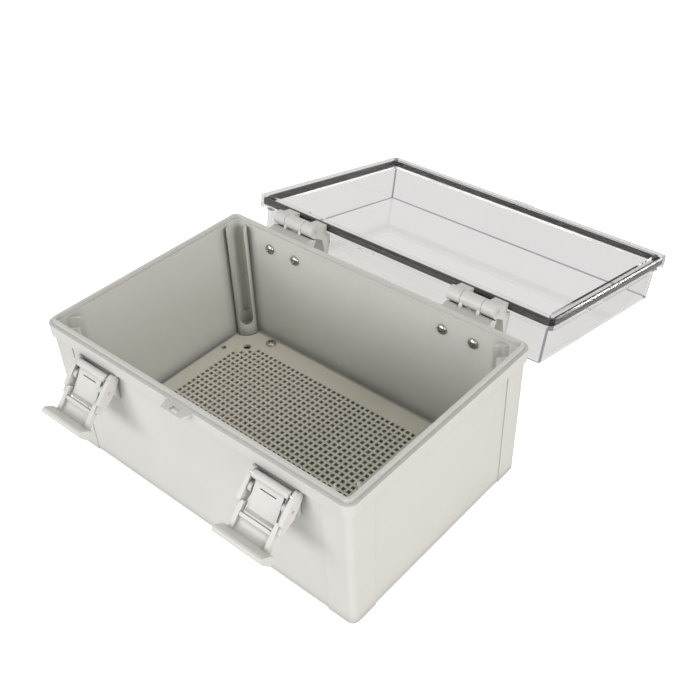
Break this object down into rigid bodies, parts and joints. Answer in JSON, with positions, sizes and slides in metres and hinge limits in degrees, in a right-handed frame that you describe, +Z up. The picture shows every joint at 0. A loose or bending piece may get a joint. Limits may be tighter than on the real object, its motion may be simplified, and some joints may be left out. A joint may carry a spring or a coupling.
{
  "type": "hinged enclosure",
  "caption": "Wall-mount junction box: moulded base tub, clear hinged lid with gasket, two draw latches, pinned hinges and a perforated mounting plate.",
  "frame": {"origin": "centre of the base underside, on the plane of its four corner feet", "axes": "+X along the long side, +Y towards the hinges, +Z up out of the open base"},
  "size_m": [0.3, 0.4707, 0.1286],
  "materials": {
    "body_grey": "semi-gloss moulded",
    "plate_grey": "satin",
    "clear": "polished clear polycarbonate",
    "seal": "matt",
    "steel": "bright"
  },
  "bodies": {
    "base": {"base": "body_grey", "mounting_plate": "plate_grey", "plate_screws": "steel", "hinge_base_left": "body_grey", "hinge_base_right": "body_grey", "hinge_base_screws": "steel", "hinge_pin_left": "steel", "hinge_pin_right": "steel", "latch_bracket_left": "body_grey", "latch_bracket_right": "body_grey", "latch_screws": "steel", "pivot_pins_left": "steel", "pivot_pins_right": "steel"},
    "lid": {"lid": "clear", "gasket": "seal", "hinge_lid_left": "body_grey", "hinge_lid_right": "body_grey", "hinge_lid_screws": "steel"},
    "lever_left": {"latch_lever_left": "body_grey", "hook_pin_left": "steel"},
    "lever_right": {"latch_lever_right": "body_grey", "hook_pin_right": "steel"},
    "hook_left": {"latch_hook_left": "body_grey"},
    "hook_right": {"latch_hook_right": "body_grey"}
  },
  "joints": [
    {"name": "lid_hinge", "type": "hinge", "parent": "base", "child": "lid", "pos_m": [0, 0.1135, 0.1226], "axis": [1, 0, 0], "range_deg": [0, 192.75]},
    {"name": "lever_left_pivot", "type": "hinge", "parent": "base", "child": "lever_left", "pos_m": [-0.09, -0.1084, 0.0967], "axis": [1, 0, 0], "range_deg": [0, 42]},
    {"name": "hook_left_pivot", "type": "hinge", "parent": "lever_left", "child": "hook_left", "pos_m": [-0.09, -0.10474, 0.10525], "axis": [1, 0, 0], "range_deg": [-217.5, 0]},
    {"name": "lever_right_pivot", "type": "hinge", "parent": "base", "child": "lever_right", "pos_m": [0.09, -0.1084, 0.0967], "axis": [1, 0, 0], "range_deg": [0, 42]},
    {"name": "hook_right_pivot", "type": "hinge", "parent": "lever_right", "child": "hook_right", "pos_m": [0.09, -0.10474, 0.10525], "axis": [1, 0, 0], "range_deg": [-217.5, 0]}
  ],
  "couplings": [
    {"joint": "hook_left_pivot", "follows": "lever_left_pivot", "ratio": -5.1785},
    {"joint": "hook_right_pivot", "follows": "lever_right_pivot", "ratio": -5.1785}
  ]
}
